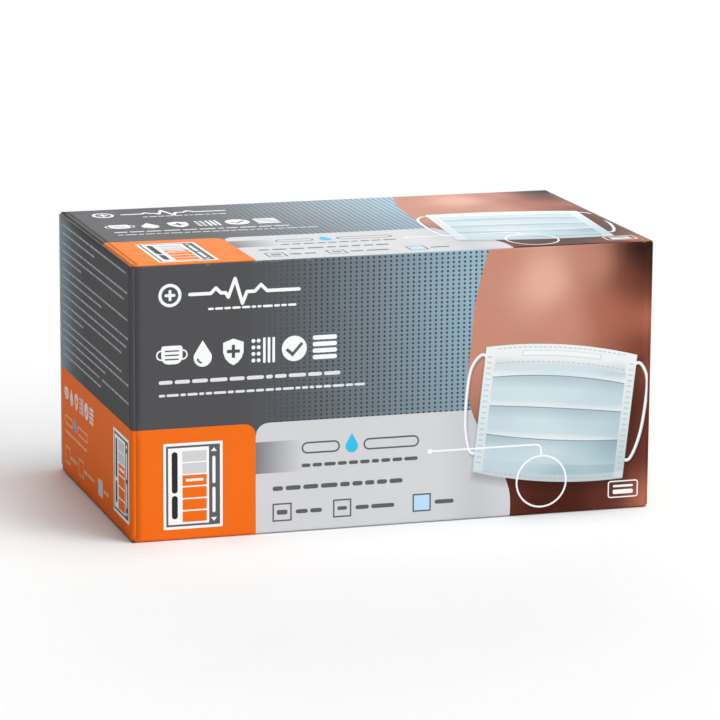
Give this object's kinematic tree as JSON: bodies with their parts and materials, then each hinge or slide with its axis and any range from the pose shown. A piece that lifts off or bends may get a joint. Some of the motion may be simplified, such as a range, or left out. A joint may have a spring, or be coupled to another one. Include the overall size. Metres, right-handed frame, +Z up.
{
  "type": "face mask carton",
  "caption": "Closed printed paperboard carton for folded face masks, with a tuck-in flap hinged at each end and dust flaps behind it.",
  "frame": {"origin": "centre of the carton's footprint, on the surface that it stands on", "axes": "+X along the carton's length, to the right as the main display wall is seen; the main display wall faces -Y; +Z up"},
  "size_m": [0.19, 0.112, 0.097],
  "materials": {
    "printed_board": "satin",
    "printed_flap": "satin",
    "bare_board": "matte"
  },
  "bodies": {
    "sleeve": {"carton_sleeve": "printed_board"},
    "left_end_flap": {"end_flap_left": "printed_flap"},
    "right_end_flap": {"end_flap_right": "printed_flap"},
    "left_top_dust_flap": {"dust_flap_left_top": "bare_board"},
    "left_bottom_dust_flap": {"dust_flap_left_bottom": "bare_board"},
    "right_top_dust_flap": {"dust_flap_right_top": "bare_board"},
    "right_bottom_dust_flap": {"dust_flap_right_bottom": "bare_board"}
  },
  "joints": [
    {"name": "left_end_crease", "type": "hinge", "parent": "sleeve", "child": "left_end_flap", "pos_m": [-0.09475, -0.05575, 0.0485], "axis": [0, 0, 1], "range_deg": [0, 200]},
    {"name": "right_end_crease", "type": "hinge", "parent": "sleeve", "child": "right_end_flap", "pos_m": [0.09475, -0.05575, 0.0485], "axis": [0, 0, -1], "range_deg": [0, 200]},
    {"name": "left_top_dust_crease", "type": "hinge", "parent": "sleeve", "child": "left_top_dust_flap", "pos_m": [-0.09395, 0, 0.09595], "axis": [0, -1, 0], "range_deg": [0, 85]},
    {"name": "left_bottom_dust_crease", "type": "hinge", "parent": "sleeve", "child": "left_bottom_dust_flap", "pos_m": [-0.09395, 0, 0.00105], "axis": [0, 1, 0], "range_deg": [0, 85]},
    {"name": "right_top_dust_crease", "type": "hinge", "parent": "sleeve", "child": "right_top_dust_flap", "pos_m": [0.09395, 0, 0.09595], "axis": [0, 1, 0], "range_deg": [0, 85]},
    {"name": "right_bottom_dust_crease", "type": "hinge", "parent": "sleeve", "child": "right_bottom_dust_flap", "pos_m": [0.09395, 0, 0.00105], "axis": [0, -1, 0], "range_deg": [0, 85]}
  ]
}
